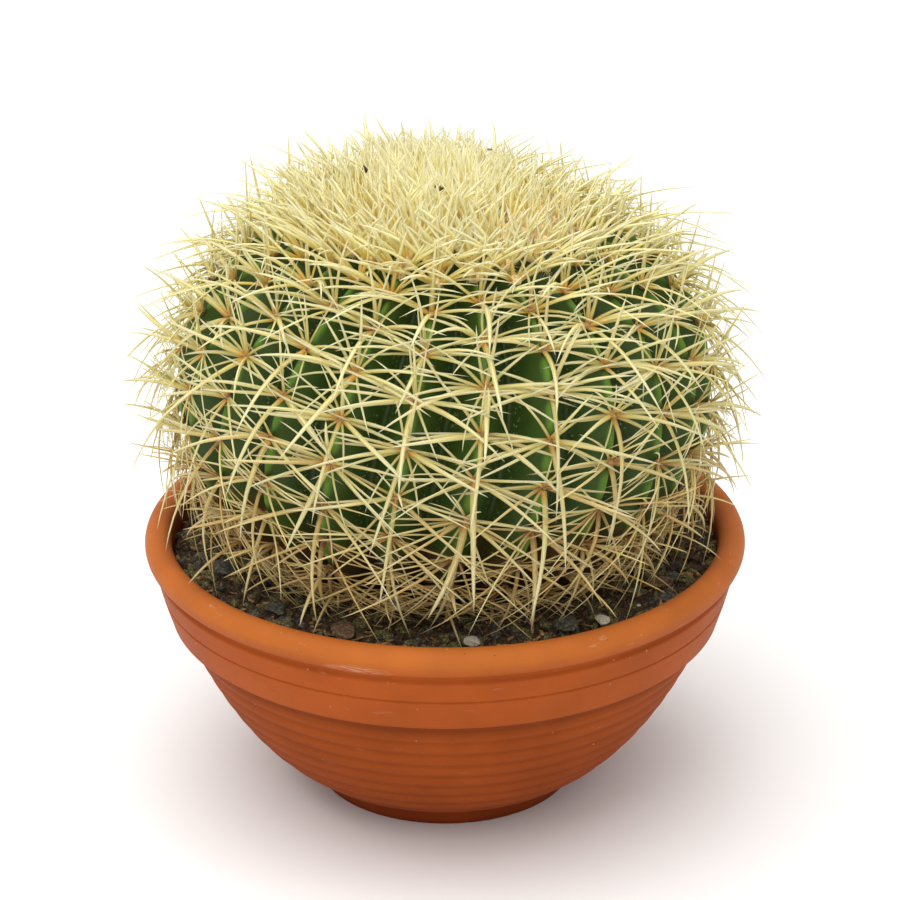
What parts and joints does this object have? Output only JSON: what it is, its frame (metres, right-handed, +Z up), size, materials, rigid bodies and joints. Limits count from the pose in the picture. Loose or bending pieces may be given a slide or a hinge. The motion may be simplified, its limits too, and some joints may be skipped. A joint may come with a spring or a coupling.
{
  "type": "potted round cactus",
  "caption": "Round ribbed barrel cactus, densely covered in straw-yellow spines, growing in dark soil in a low round terracotta bowl with a rolled rim.",
  "frame": {"origin": "bottom centre of the bowl's foot, on the bowl's axis", "axes": "+Z up along the bowl's axis; -Y is the side seen from the front"},
  "size_m": [0.3068, 0.3068, 0.2998],
  "materials": {
    "terracotta": "matte",
    "potting_soil": "matte",
    "cactus_skin": "satin",
    "spines": "satin",
    "areole_wool": "matte",
    "basalt": "matte",
    "bark": "matte",
    "perlite": "matte"
  },
  "bodies": {
    "root": {"terracotta_bowl": "terracotta", "potting_soil": "potting_soil", "cactus_stem": "cactus_skin", "spine_row_01": "spines", "spine_row_02": "spines", "spine_row_03": "spines", "spine_row_04": "spines", "spine_row_05": "spines", "spine_row_06": "spines", "spine_row_07": "spines", "spine_row_08": "spines", "spine_row_09": "spines", "spine_row_10": "spines", "spine_row_11": "spines", "spine_row_12": "spines", "spine_row_13": "spines", "spine_row_14": "spines", "spine_row_15": "spines", "spine_row_16": "spines", "spine_row_17": "spines", "spine_row_18": "spines", "spine_row_19": "spines", "spine_row_20": "spines", "spine_row_21": "spines", "spine_row_22": "spines", "spine_row_23": "spines", "spine_row_24": "spines", "crown_wool": "areole_wool", "basalt_chip_01": "basalt", "basalt_chip_02": "basalt", "basalt_chip_03": "basalt", "basalt_chip_04": "basalt", "basalt_chip_05": "basalt", "bark_chip_01": "bark", "bark_chip_02": "bark", "bark_chip_03": "bark", "perlite_grain_01": "perlite", "perlite_grain_02": "perlite"}
  },
  "joints": []
}
